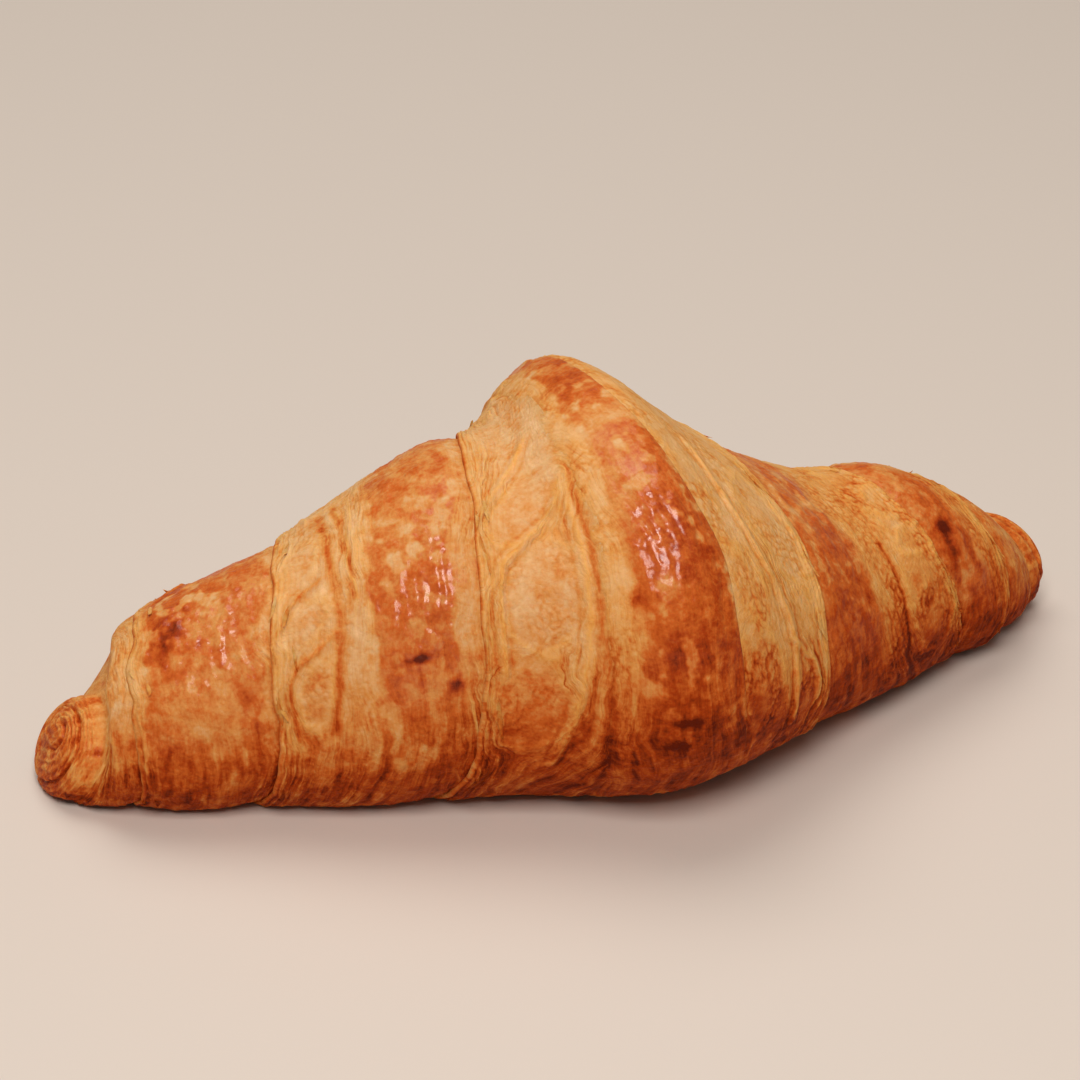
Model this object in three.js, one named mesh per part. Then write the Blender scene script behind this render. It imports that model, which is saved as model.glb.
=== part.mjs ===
// A croissant: a triangle of laminated dough rolled up from its long side, proofed and baked.
// Each turn of the roll shows as a wrap. It overlaps the next wrap towards the tip, and its
// free edge makes a small step down. The roll is bowed into a slight crescent, stands highest
// at its centre, and is flat where it was baked on the tray.
//
// Units are millimetres. X runs along the roll, +Y towards the bowed-back tips, and +Z up.
// The origin is on the underside, below the middle of the part.
import * as THREE from "three";

// The roll as a whole
const HALF_LENGTH = 80; // from the middle to the root of each rounded tip
const BOW = { left: 14.5, right: 16.5 }; // how far each tip bends back from the middle
const SUNK = 0.12; // share of a section's radius that is flattened underneath
const OFF_CENTRE = 0.74; // how far the middle of the part lies from the middle of the roll
// Size of the roll along its length: [place from -1 to 1, radius upwards, radius sideways]
const GIRTH = [
  [-1.0, 7.5, 9.5],
  [-0.94, 13.0, 12.8],
  [-0.88, 15.7, 15.3],
  [-0.72, 18.8, 17.0],
  [-0.5, 24.0, 21.5],
  [-0.3, 28.4, 26.5],
  [-0.16, 29.2, 31.0],
  [-0.07, 32.2, 37.0],
  [0.0, 33.5, 40.5],
  [0.07, 33.1, 40.8],
  [0.2, 28.4, 36.0],
  [0.35, 23.4, 28.5],
  [0.5, 19.6, 22.4],
  [0.72, 17.3, 18.0],
  [0.88, 13.4, 15.5],
  [1.0, 8.1, 9.8],
];

// The wraps. A free edge lies at start + grow * n - tighten * n^2 along the half length, where
// n counts turns from the point of the triangle. Low in front, each edge in turn is drawn back
// towards the middle by a share of the half length, or let out where the share is negative.
const EDGE = {
  left: { start: 0.03, grow: 0.48, tighten: 0.053, drawn: [0.08, 0.08, 0.08] },
  right: { start: 0.135, grow: 0.405, tighten: 0.048, drawn: [0.095, -0.03, 0.02] },
};
const DRAWN_AT = 0.85; // turn at which an edge is drawn back the most
const DRAWN_REACH = 0.2; // turns over which that fades
const WRAPS = 3; // whole wraps on each side, before the tip
const POINT_TURNS = 0.1; // turns over which the triangle's point widens
const POINT_HELD = 0.05; // turn at which the point begins, under the roll
const CLOSING = 0.94; // share of a turn after which an edge runs back, under the roll
// Drop from a wrap to the next one's surface: wraps 1 and 2, then the tip
const STEP = { left: [0, 0.5, 0.7, 0.4], right: [0, 0.8, 0.8, 0.6] };
const LIP = 0.5; // radius of a wrap's rounded free edge
const CREASE = 4; // length over which a wrap rises out of its crease
const CROWN = 0.9; // swelling of a wrap between its edges
const STEP_RUN = 0.3; // least run of the step along X
const TIP_SWELLING = 0.9; // share of a wrap's swelling profile that a tip shows

// The rolled tips
const NOSE = { left: 6, right: 7.6 }; // how far each tip's rounded end stands out
const NOSE_SQUARE = 0.72; // 1 for an elliptical end, less for a squarer one
// How much further a tip's end stands out at the back and at the bottom, as shares
const SLANT = { left: { back: 0.25, down: 0.47 }, right: { back: 0, down: 0 } };
const SLANT_FROM = 0.35; // share of a tip's length after which it slants
const WHORL_TURNS = 2; // turns of dough seen in a tip's end
const WHORL_DEPTH = 1.1; // depth of the groove between them

// Facets
const AROUND = 66;
const WRAP_ROWS = [0, 0.1, 0.25, 0.45, 0.65, 0.82, 0.93, 1]; // places across one wrap
const NOSE_ROWS = 7;

const rise = smoothThrough(GIRTH.map(([place, upward]) => [place, upward]));
const spread = smoothThrough(GIRTH.map(([place, , sideways]) => [place, sideways]));

// A smooth curve through [place, value] pairs, with each slope taken from the two neighbours.
function smoothThrough(points) {
  const slope = points.map((point, i) => {
    const before = points[Math.max(i - 1, 0)];
    const after = points[Math.min(i + 1, points.length - 1)];
    return (after[1] - before[1]) / (after[0] - before[0]);
  });
  return (place) => {
    let i = 0;
    while (i < points.length - 2 && place > points[i + 1][0]) i += 1;
    const span = points[i + 1][0] - points[i][0];
    const t = THREE.MathUtils.clamp((place - points[i][0]) / span, 0, 1);
    const ease = t * t * (3 - 2 * t);
    const start = t * (1 - t) * (1 - t) * span * slope[i];
    const end = t * t * (1 - t) * span * slope[i + 1];
    return points[i][1] + ease * (points[i + 1][1] - points[i][1]) + start - end;
  };
}

// Where a wrap's free edge lies, a share `turn` of the way round it, as a share of the half length.
function freeEdge(side, wrap, turn) {
  const { start, grow, tighten, drawn } = EDGE[side];
  const n = wrap + turn;
  const widening = 1 - Math.exp(-n / POINT_TURNS);
  const back = drawn[wrap] * Math.exp(-(((turn - DRAWN_AT) / DRAWN_REACH) ** 2));
  return Math.min((start + grow * n - tighten * n * n) * widening - back, 1);
}

// Share of a turn at an angle round the roll: it grows from the underside up over the back and
// down the front, and runs back to its start under the roll.
function turnAt(angle) {
  const turn = THREE.MathUtils.euclideanModulo(angle / (2 * Math.PI) + 0.25, 1);
  const share = Math.min(turn, (CLOSING * (1 - turn)) / (1 - CLOSING));
  return Math.max(share, POINT_HELD);
}

// Height of a wrap's surface over the roll: it rises out of the crease, swells, and rounds off
// at the free edge. `across` runs from 0 at the crease to 1 at the free edge. The last turn,
// wrap 0, has no crease, and the tip, after the last wrap, has no free edge.
function wrapRelief(side, wrap, across, width) {
  const fromEdge = wrap === WRAPS ? LIP : (1 - across) * width;
  const bite = Math.max(1 - fromEdge / LIP, 0);
  const lip = -LIP * (1 - Math.sqrt(1 - bite * bite));
  if (wrap === 0) return lip;
  const shown = wrap === WRAPS ? TIP_SWELLING : 1;
  const crease = STEP[side][wrap] * Math.exp((-across * width) / CREASE);
  return lip - crease + CROWN * Math.sin(Math.PI * shown * across);
}

// A point on the roll's skin. `along` runs from -1 to 1 on the bowed centre line, `size` scales
// the section, `relief` is added to it, `past` is how far beyond the tip's root it stands, and
// `slanted` is the share of the tip's slant that it has.
function skinPoint(along, angle, { relief = 0, size = 1, past = 0, slanted = 0 }) {
  const bow = along < 0 ? BOW.left : BOW.right;
  const slope = (2 * bow * along) / HALF_LENGTH;
  const stretch = Math.hypot(1, slope);
  const { back, down } = along < 0 ? SLANT.left : SLANT.right;
  const sideways = (spread(along) * size + relief) * Math.cos(angle);
  const upwards = (rise(along) * size + relief) * Math.sin(angle);
  const outward = Math.sign(along) * (past + slanted * (back * sideways - down * upwards));
  const x = along * HALF_LENGTH + (outward - sideways * slope) / stretch;
  const y = bow * along * along + (outward * slope + sideways) / stretch;
  const z = rise(along) * (1 - SUNK) + upwards;
  return new THREE.Vector3(x, y, Math.max(z, 0));
}

// One row of the skin for each place across each wrap, from the middle out to a tip. Every row
// is a function from the angle round the roll to a point.
function wrapRows(side) {
  const sign = side === "left" ? -1 : 1;
  const rows = [];
  for (let wrap = 0; wrap <= WRAPS; wrap += 1) {
    for (const across of WRAP_ROWS) {
      if (wrap === 0 && across === 0) continue;
      rows.push((angle) => {
        const turn = turnAt(angle);
        const inner = wrap === 0 ? 0 : freeEdge(side, wrap - 1, turn);
        const outer = wrap === WRAPS ? 1 : freeEdge(side, wrap, turn);
        const gap = (wrap > 0 ? STEP_RUN / HALF_LENGTH : 0) * (1 - across);
        const along = Math.min(inner + (outer - inner) * across + gap, 1);
        const relief = wrapRelief(side, wrap, across, (outer - inner) * HALF_LENGTH);
        const slanted = wrap === WRAPS ? THREE.MathUtils.smoothstep(across, SLANT_FROM, 1) : 0;
        return skinPoint(sign * along, angle, { relief, slanted });
      });
    }
  }
  return rows;
}

// Rows over a tip's rounded end, where the rolled layers show as a whorl.
function noseRows(side) {
  const sign = side === "left" ? -1 : 1;
  const rows = [];
  for (let i = 1; i < NOSE_ROWS; i += 1) {
    const share = i / NOSE_ROWS;
    rows.push((angle) => {
      const turns = (1 - share) * WHORL_TURNS + (sign * angle) / (2 * Math.PI);
      // the groove fades out as 4 s (1 - s) towards the rim, s = 0, and the pole, s = 1
      const fade = 4 * share * (1 - share);
      const groove = WHORL_DEPTH * THREE.MathUtils.euclideanModulo(turns, 1) * fade;
      const size = Math.cos((share * Math.PI) / 2) ** NOSE_SQUARE;
      const past = NOSE[side] * Math.sin((share * Math.PI) / 2) ** NOSE_SQUARE - groove;
      return skinPoint(sign, angle, { size, past, slanted: 1 });
    });
  }
  rows.push(() => skinPoint(sign, 0, { size: 0, past: NOSE[side] }));
  return rows;
}

// The whole skin is a sphere's net of rows and columns, with every vertex moved to its place.
function croissantGeometry() {
  const stations = [
    ...noseRows("left").reverse(),
    ...wrapRows("left").reverse(),
    ...wrapRows("right"),
    ...noseRows("right"),
  ];
  const geometry = new THREE.SphereGeometry(1, AROUND, stations.length - 1);
  const position = geometry.attributes.position;
  for (let i = 0; i < position.count; i += 1) {
    const row = Math.floor(i / (AROUND + 1));
    const column = i % (AROUND + 1);
    const angle = (-2 * Math.PI * (column % AROUND)) / AROUND;
    const point = stations[row](angle);
    position.setXYZ(i, point.x, point.y, point.z);
  }
  geometry.computeVertexNormals();
  return geometry;
}

const crust = new THREE.MeshStandardMaterial({ color: 0xcf8a49, roughness: 0.55, metalness: 0 });
const croissant = new THREE.Mesh(croissantGeometry(), crust);
croissant.name = "croissant";
croissant.position.x = -OFF_CENTRE;

const part = new THREE.Group();
part.add(croissant);

export default part;
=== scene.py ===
# %% [markdown]
# # A croissant, modelled as the baker makes it
#
# A croissant starts as a long thin triangle of laminated dough: sheets of dough with sheets of
# butter between them. The triangle is rolled up from its wide end, so each turn of the roll is
# a little narrower than the one below it. In the oven the layers puff apart. Two kinds of
# surface show at the end:
#
# - the outside of the sheet, which was brushed with egg and bakes brown and glossy;
# - the cut edge of the sheet, which was not, and stays a matte gold with its layers showing.
#
# So the model is a set of wraps, each a surface with two parameters: the angle round the roll,
# and the place across the wrap. Everything is worked out in millimetres and turned to metres at
# the end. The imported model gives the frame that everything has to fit.

# %% Load the frame
import math

import bpy
import numpy as np
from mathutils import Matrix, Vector


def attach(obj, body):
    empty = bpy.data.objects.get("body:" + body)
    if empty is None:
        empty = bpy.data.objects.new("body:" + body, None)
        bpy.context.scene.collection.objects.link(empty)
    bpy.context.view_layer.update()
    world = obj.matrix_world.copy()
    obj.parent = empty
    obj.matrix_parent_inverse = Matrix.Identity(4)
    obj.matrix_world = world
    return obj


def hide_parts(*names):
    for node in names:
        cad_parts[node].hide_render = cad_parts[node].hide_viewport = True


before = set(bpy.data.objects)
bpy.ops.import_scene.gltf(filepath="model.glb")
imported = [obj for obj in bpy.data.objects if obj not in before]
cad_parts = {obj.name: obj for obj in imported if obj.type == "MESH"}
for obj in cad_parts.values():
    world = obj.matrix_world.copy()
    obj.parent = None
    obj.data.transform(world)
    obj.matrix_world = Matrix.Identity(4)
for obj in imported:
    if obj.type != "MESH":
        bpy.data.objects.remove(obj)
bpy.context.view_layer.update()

MM = 0.001

# %% [markdown]
# ## The roll
#
# The roll is a bowed spindle. Its girth is a smooth curve through a few places along its
# length, and a section is an ellipse with its underside flattened on the baking tray. These
# are the same sizes as the solid's, so the fine surface lies on the solid.

# %% Sizes of the roll, in millimetres
HALF_LENGTH = 80.0
BOW = {-1: 14.5, 1: 16.5}
SUNK = 0.12
OFF_CENTRE = 0.74
GIRTH = np.array([
    # place, radius upwards, radius sideways
    [-1.00, 7.5, 9.5],
    [-0.94, 13.0, 12.8],
    [-0.88, 15.7, 15.3],
    [-0.72, 18.8, 17.0],
    [-0.50, 24.0, 21.5],
    [-0.30, 28.4, 26.5],
    [-0.16, 29.2, 31.0],
    [-0.07, 32.2, 37.0],
    [0.00, 33.5, 40.5],
    [0.07, 33.1, 40.8],
    [0.20, 28.4, 36.0],
    [0.35, 23.4, 28.5],
    [0.50, 19.6, 22.4],
    [0.72, 17.3, 18.0],
    [0.88, 13.4, 15.5],
    [1.00, 8.1, 9.8],
])
NOSE = {-1: 6.0, 1: 7.6}
NOSE_SQUARE = 0.72
# How much further a tip's end stands out at the back, and at the bottom, as shares
SLANT = {-1: (0.25, 0.47), 1: (0.0, 0.0)}
FLOOR_SOFTNESS = 1.0  # reach of the bend where the skin meets the flat underside

# Where a wrap's free edge lies after n turns from the point of the triangle, as a share of the
# half length: (start + grow n - tighten n^2), widened from nothing over the first tenth turn
EDGE = {-1: (0.03, 0.48, 0.053), 1: (0.135, 0.405, 0.048)}
POINT_TURNS = 0.1
POINT_HELD = 0.05
CLOSING = 0.94
# Low in front each edge is drawn back to the middle, or let out (negative), by a share
DRAWN = {-1: (0.08, 0.08, 0.08), 1: (0.095, -0.03, 0.02)}
DRAWN_AT, DRAWN_REACH = 0.85, 0.2

# Each wrap, and the tip after them, starts a step below its neighbour's edge, and swells
STEP = {-1: (0.0, 0.5, 0.7, 0.4), 1: (0.0, 0.8, 0.8, 0.6)}
LIP = 0.5  # radius of a wrap's rounded free edge
CREASE = 4.0  # length over which a wrap rises out of its crease
CROWN = 0.9  # swelling of a wrap between its edges
TUCK = 3.0  # how far a wrap runs on under its neighbour
TIP_SWELLING = 0.9  # share of a wrap's swelling profile that a tip shows
SLANT_FROM = 0.35  # share of a tip's length after which it slants


# %% Curves along the roll
def smooth_through(places, values, at):
    """Cubic curve through (place, value) points; each slope is the rise between the two
    neighbours over their distance."""
    slopes = np.gradient(values, places)
    slopes[1:-1] = (values[2:] - values[:-2]) / (places[2:] - places[:-2])
    i = np.clip(np.searchsorted(places, at, side="right") - 1, 0, len(places) - 2)
    span = places[i + 1] - places[i]
    t = np.clip((at - places[i]) / span, 0, 1)
    ease = t * t * (3 - 2 * t)
    bend = t * (1 - t) * span * ((1 - t) * slopes[i] - t * slopes[i + 1])
    return values[i] + ease * (values[i + 1] - values[i]) + bend


def smoothstep(low, painted_top_light, x):
    """0 below low, 1 above high, and a smooth cubic between. low may be above high."""
    t = np.clip((x - low) / (painted_top_light - low), 0, 1)
    return t * t * (3 - 2 * t)


def bell(x, width):
    """A bell curve of height 1: exp(-(x / width)^2)."""
    return np.exp(-((x / width) ** 2))


def girth_at(along):
    """Upward and sideways radius of the roll at a place along it."""
    up = smooth_through(GIRTH[:, 0], GIRTH[:, 1], along)
    return up, smooth_through(GIRTH[:, 0], GIRTH[:, 2], along)


print("radii at the middle:", [float(r) for r in girth_at(np.array(0.0))], "mm")

# %% [markdown]
# ## Noise
#
# Dough is uneven at every size. One gradient noise, written for whole arrays, serves for all
# of it: the wander of an edge, the layers, the blisters and the browning. Its tables are
# shuffled from a fixed seed, so the croissant bakes the same way each time.

# %% Gradient noise
rng = np.random.default_rng(7)
SHUFFLE = np.tile(rng.permutation(256), 3)
GRADIENT = rng.normal(size=(256, 3))
GRADIENT = (GRADIENT / np.linalg.norm(GRADIENT, axis=1, keepdims=True)).astype(np.float32)


def noise(x, y, z):
    """Gradient noise, about -1 to 1: each corner of the unit cell holds a direction, and the
    dot products with it are blended by a fifth-degree ease."""
    x, y, z = np.broadcast_arrays(x, y, z)
    cell = [np.floor(v) for v in (x, y, z)]
    part = [(v - c).astype(np.float32) for v, c in zip((x, y, z), cell)]
    index = [c.astype(np.int64) & 255 for c in cell]
    ease = [p * p * p * (p * (p * 6 - 15) + 10) for p in part]
    total = np.zeros(x.shape, np.float32)
    for i in (0, 1):
        wx = ease[0] if i else 1 - ease[0]
        a = SHUFFLE[index[0] + i]
        for j in (0, 1):
            wy = ease[1] if j else 1 - ease[1]
            b = SHUFFLE[a + index[1] + j]
            for k in (0, 1):
                wz = ease[2] if k else 1 - ease[2]
                g = GRADIENT[SHUFFLE[b + index[2] + k]]
                dot = g[..., 0] * (part[0] - i) + g[..., 1] * (part[1] - j)
                dot = dot + g[..., 2] * (part[2] - k)
                total += wx * wy * wz * dot
    return 1.7 * total


def rough(x, y, z, octaves=3):
    """Several noises, each half as large and half as strong as the last."""
    return sum(noise(x * 2**o + 17 * o, y * 2**o, z * 2**o) / 2**o for o in range(octaves)) / 1.6


def lumps(points, size, shift=0.0):
    """Noise at points in mm that changes over `size` mm in every direction."""
    x, y, z = (points[..., i] / size for i in range(3))
    return noise(x, y, z + shift)


print("noise sample:", round(float(noise(np.array(0.3), 0.7, 0.1)), 3))

# %% [markdown]
# ## Where the wraps lie
#
# Seen along the roll, a free edge winds outwards by about one wrap in each turn. The turn is
# counted from the point of the triangle, which a baker tucks under the roll: it grows up the
# back, over the top and down the front, and closes again out of sight underneath.


# %% Edges of the wraps
def turn_at(angle):
    """Share of a turn at an angle round the roll: 0 underneath, a quarter at the back, a half
    on top, three quarters in front, then back to the start underneath."""
    turn = np.mod(angle / (2 * np.pi) + 0.25, 1)
    return np.maximum(np.minimum(turn, CLOSING * (1 - turn) / (1 - CLOSING)), POINT_HELD)


def free_edge(side, wrap, angle):
    """Place of a wrap's free edge: the spiral's formula, with a wander of about 1 mm."""
    turn = turn_at(angle)
    n = wrap + turn
    start, grow, tighten = EDGE[side]
    place = (start + grow * n - tighten * n * n) * (1 - np.exp(-n / POINT_TURNS))
    place = place - DRAWN[side][wrap] * bell(turn - DRAWN_AT, DRAWN_REACH)
    wander = noise(2.1 * np.cos(angle), 2.1 * np.sin(angle), 5.3 * side + 3.7 * wrap)
    fine = noise(6 * np.cos(angle), 6 * np.sin(angle), 2.3 * side + 1.7 * wrap)
    return np.minimum(place + 0.010 * wander + 0.003 * fine, 1)


def brown_edge(side, angle):
    """Signed place where the egg-washed strip down the middle ends on each side."""
    n = turn_at(angle)
    wander = noise(2.5 * np.cos(angle), 2.5 * np.sin(angle), 11.1 * side)
    if side < 0:
        return -0.100 + 0.006 * wander
    widened = 0.09 * smoothstep(0.46, 0.66, n) + 0.045 * smoothstep(0.74, 0.86, n)
    return 0.02 + widened + 0.005 * wander


def skin(along, angle, relief=0.0, tip=0.0, slanted=0.0, floor=0.0):
    """A point on the roll. along: -1 to 1 on the bowed centre line; angle: round it; relief:
    height over the smooth roll; tip: 0 on the roll to a quarter turn at the tip's pole; slanted:
    share of the tip's slant; floor: level of the flattened underside."""
    side = np.sign(along)
    bow = np.where(along < 0, BOW[-1], BOW[1])
    nose = np.where(along < 0, NOSE[-1], NOSE[1])
    up, across = girth_at(along)
    size, out = np.cos(tip) ** NOSE_SQUARE, np.sin(tip) ** NOSE_SQUARE
    slope = 2 * bow * along / HALF_LENGTH
    stretch = np.hypot(1, slope)
    back, down = (np.where(along < 0, SLANT[-1][i], SLANT[1][i]) * slanted for i in (0, 1))
    sideways = (across * size + relief * size) * np.cos(angle)
    upwards = (up * size + relief * size) * np.sin(angle)
    past = side * (nose * out + relief * out + back * sideways - down * upwards)
    x = along * HALF_LENGTH + (past - sideways * slope) / stretch - OFF_CENTRE
    y = bow * along**2 + (past * slope + sideways) / stretch
    z = up * (1 - SUNK) + upwards - floor
    z = 0.5 * (z + np.sqrt(z * z + FLOOR_SOFTNESS**2)) - 0.02 + floor
    return np.stack(np.broadcast_arrays(x, y, z), axis=-1)


for side in (-1, 1):
    edges = [float(free_edge(side, wrap, np.array(np.pi))) * HALF_LENGTH for wrap in range(3)]
    print("free edges in front, side", side, [round(e, 1) for e in edges], "mm from the middle")

# %% [markdown]
# ## Bands of skin
#
# A band is one stretch of skin between two edges, all the way round the roll. To be a solid
# thing it is closed: its outer surface ends in a rounded lip, curls under, and runs back below
# the surface to where it began, tucked under its neighbour. So where two bands meet there is a
# real crease, with a real shadow in it.
#
# The columns of the grid are angles, packed closer on top than underneath. The rows are places
# across the band.


# %% Grids
def angles(count):
    """Angles once round the roll from underneath: even steps p, shifted by 0.38 sin(2 pi p),
    which spreads them under the roll and gathers them on top."""
    p = np.arange(count) / count
    return 2 * np.pi * p - np.pi / 2 + 0.38 * np.sin(2 * np.pi * p)


def add_mesh(name, points, loop, fields):
    """A closed mesh from a grid of points in millimetres, rows by columns, or from many such
    grids. The columns close on themselves. The rows close too if loop is true, or else the
    first and last row are each a pole. Each field, a number or a vector for every point, is
    kept as a named attribute. The volume is a sixth of the sum of triple products."""
    index = np.arange(points[..., 0].size).reshape(points.shape[:-1])
    if not loop:
        index[..., 0, :], index[..., -1, :] = index[..., 0, :1], index[..., -1, :1]
    low = index if loop else index[..., :-1, :]
    painted_top_light = np.roll(index, -1, axis=-2) if loop else index[..., 1:, :]
    ring = [low, np.roll(low, -1, axis=-1), np.roll(painted_top_light, -1, axis=-1), painted_top_light]
    faces = np.stack(ring, axis=-1).reshape(-1, 4)
    flat = points.reshape(-1, 3)
    a, b, c, d = (flat[faces[:, i]] for i in range(4))
    volume = (a * (np.cross(b, c) + np.cross(c, d))).sum() / 6
    if volume < 0:
        faces = faces[:, ::-1]
    used, packed = np.unique(faces, return_inverse=True)
    packed = packed.reshape(-1, 4)
    kept = packed != np.roll(packed, 1, axis=1)
    sizes = kept.sum(axis=1)
    mesh = bpy.data.meshes.new(name)
    mesh.vertices.add(len(used))
    mesh.vertices.foreach_set("co", (flat[used] * MM).astype(np.float32).ravel())
    corners = packed[kept]
    mesh.loops.add(len(corners))
    mesh.loops.foreach_set("vertex_index", corners.astype(np.int32))
    mesh.polygons.add(len(sizes))
    starts = np.concatenate([[0], np.cumsum(sizes)[:-1]])
    mesh.polygons.foreach_set("loop_start", starts.astype(np.int32))
    mesh.update(calc_edges=True)
    mesh.shade_smooth()
    for field, values in fields.items():
        one_each = values.ndim < points.ndim
        kind, slot = ("FLOAT", "value") if one_each else ("FLOAT_VECTOR", "vector")
        values = values.reshape(len(flat), -1)[used].astype(np.float32)
        mesh.attributes.new(field, kind, "POINT").data.foreach_set(slot, values.ravel())
    piece = bpy.data.objects.new(name, mesh)
    bpy.context.collection.objects.link(piece)
    triangles = int((sizes - 2).sum())
    print(f"{name}: {len(used)} points, {triangles} triangles, {abs(volume) / 1000:.0f} cm3")
    return piece


# %% [markdown]
# ## What proving and baking do to the skin
#
# Everything on the surface of a wrap is a formula in the same two places: the distance from
# its free edge, and the angle round the roll.
#
# - Layers: across the cut edge the sheets lie like shingles. Their edges are thin lines that
#   run round the roll, part, and meet again.
# - Blisters: where a sheet puffed up, a smooth oval swells. The lines flow round it as water
#   flows round a stone, so they crowd at its sides.
# - Folds: a few sheets slid or tore, and left a raised fold across the grain.
# - Wrinkles: the egg-washed skin shrinks into fine creases round the roll.
#
# The browning follows: dark on the egg-washed strip, gold on the cut edge, and darker low down,
# partly where the roll meets the hot tray and partly as painted shade. Painted shade also darkens
# hollows, creases and grooves, and painted light makes the top a little paler.

# %% Blisters, folds and browned patches
# place, angle in degrees, half length along the roll and round it in mm, tilt, height in mm
BLISTERS = [
    (-0.178, 116, 3.6, 7.6, 40, 0.50),
    (-0.184, 146, 4.8, 7.8, 12, 0.65),
    (-0.220, 180, 4.8, 8.5, 0, 0.25),
    (-0.590, 107, 3.0, 5.5, 25, 0.40),
    (-0.586, 135, 2.6, 4.0, 45, 0.45),
    (-0.572, 163, 2.2, 4.8, 10, 0.45),
    (0.272, 130, 4.2, 10.0, -14, 0.40),
    (0.165, 180, 3.6, 12.0, -6, 0.40),
    (0.115, 128, 2.0, 8.0, -16, 0.20),
    (0.272, 186, 2.8, 6.0, -4, 0.30),
    (0.600, 98, 4.6, 7.5, -10, 0.35),
    (0.635, 122, 4.4, 6.5, 0, 0.35),
    (0.628, 150, 4.2, 6.5, 8, 0.35),
    (0.645, 176, 4.0, 6.0, 0, 0.30),
]
# knots of place and angle, height in mm, half width in mm, change of browning, yellowness
FOLDS = [
    ([(-0.130, 90), (-0.178, 101), (-0.235, 113), (-0.272, 121)], 0.50, 0.60, -0.05, 1.0),
    ([(-0.116, 116), (-0.160, 124), (-0.215, 131), (-0.250, 139), (-0.262, 172)],
     0.60, 0.60, -0.06, 1.0),
    ([(-0.114, 118), (-0.119, 150), (-0.144, 177), (-0.183, 206)], 0.45, 0.60, -0.06, 1.0),
    ([(0.150, 103), (0.178, 126), (0.228, 155), (0.240, 169), (0.240, 200)],
     0.60, 0.55, -0.06, 1.0),
    ([(0.222, 164), (0.262, 170), (0.295, 177), (0.303, 192)], 0.45, 0.50, -0.06, 1.0),
    ([(-0.540, 118), (-0.589, 122), (-0.616, 127), (-0.639, 136), (-0.648, 150)],
     0.50, 0.45, 0.22, 0.3),
    ([(-0.535, 142), (-0.572, 147), (-0.602, 151), (-0.618, 158), (-0.604, 185)],
     0.50, 0.45, 0.22, 0.3),
    ([(-0.532, 74), (-0.530, 110), (-0.527, 140), (-0.545, 182)], -0.12, 0.7, 0.32, 0.0),
    ([(-0.505, 74), (-0.500, 100), (-0.495, 132)], -0.08, 0.55, 0.30, 0.0),
    ([(0.545, 130), (0.553, 142), (0.560, 165), (0.570, 192)], -0.10, 0.4, 0.26, 0.0),
]
# place, angle in degrees, reach along the roll and round it in mm, change of browning
BROWNED = [
    (-0.03, 80, 3.5, 9.0, 0.14),
    (0.00, 103, 4.0, 1.2, -0.26),
    (-0.035, 122, 2.2, 9.0, -0.16),
    (0.06, 155, 5.0, 22.0, 0.09),
    (0.01, 172, 4.0, 7.0, 0.06),
    (-0.76, 182, 7.0, 9.0, -0.08),
    (-0.21, 180, 5.0, 8.0, -0.04),
    (0.05, 192, 9.0, 9.0, 0.15),
    (-0.215, 202, 5.0, 6.0, 0.07),
    (0.25, 195, 9.0, 6.0, 0.06),
    (0.41, 180, 5.0, 8.0, 0.07),
    (-0.91, 130, 3.0, 6.0, -0.10),
    (-0.60, 108, 3.5, 5.0, 0.06),
    (-0.18, 130, 5.0, 13.0, 0.08),
    (0.00, 132, 5.0, 9.0, 0.07),
    (-0.385, 166, 5.0, 5.0, -0.06),
    (0.64, 112, 4.0, 6.0, -0.08),
    (0.64, 150, 4.0, 6.0, 0.11),
    (0.53, 148, 3.0, 9.0, 0.06),
    (0.85, 150, 5.0, 9.0, 0.12),
    (0.006, 189, 2.0, 0.9, 0.36),
    (0.00, 197, 1.5, 1.0, 0.30),
    (0.073, 167, 1.0, 1.6, 0.25),
    (-0.055, 153, 1.4, 1.8, 0.25),
    (-0.40, 160, 1.9, 0.8, 0.55),
    (-0.344, 171, 0.9, 1.2, 0.45),
    (-0.40, 188, 8.0, 6.0, -0.18),
    (-0.83, 114, 2.8, 3.6, 0.30),
    (-0.78, 160, 7.0, 9.0, -0.16),
    (0.42, 162, 5.0, 15.0, 0.13),
    (0.75, 118, 4.0, 8.0, 0.08),
    (0.729, 133, 1.2, 1.5, 0.45),
    (0.725, 150, 0.8, 3.5, 0.25),
]
# Where the egg wash pooled and the skin shrank into wrinkles: place, angle, reaches in mm
GLAZED = [
    (-0.385, 153, 7.5, 10.0),
    (-0.34, 125, 3.0, 7.0),
    (-0.40, 168, 5.0, 5.0),
    (-0.74, 122, 6.0, 5.5),
    (0.000, 132, 4.0, 9.0),
    (0.42, 118, 4.0, 8.0),
    (-0.40, 20, 9.0, 8.0),
    (0.05, 35, 5.0, 9.0),
    (0.42, 25, 5.0, 7.0),
    (-0.78, 30, 6.0, 5.0),
]
# Back of the roll: more blisters and folds, scattered over the cut edge of each wrap
for side in (-1, 1):
    for wrap, inward in ((0, 5.5), (0, 12.0), (1, 5.0), (2, 3.5)):
        for start in (-40, 5, 45):
            degrees = start + rng.uniform(-14, 14)
            edge = float(free_edge(side, wrap, np.radians(degrees)))
            place = side * (edge - inward / HALF_LENGTH)
            size = rng.uniform(0.7, 1.1)
            BLISTERS.append((place, degrees, 4.2 * size, 8 * size, rng.uniform(-20, 20), 0.4))
            knots = [(place + rng.uniform(-0.03, 0.03), degrees + d) for d in (-12, 4, 20)]
            FOLDS.append((knots, rng.uniform(0.2, 0.5), 0.5, -0.05, 0.7))
print(len(BLISTERS), "blisters,", len(FOLDS), "folds,", len(BROWNED), "browned patches")


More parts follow.
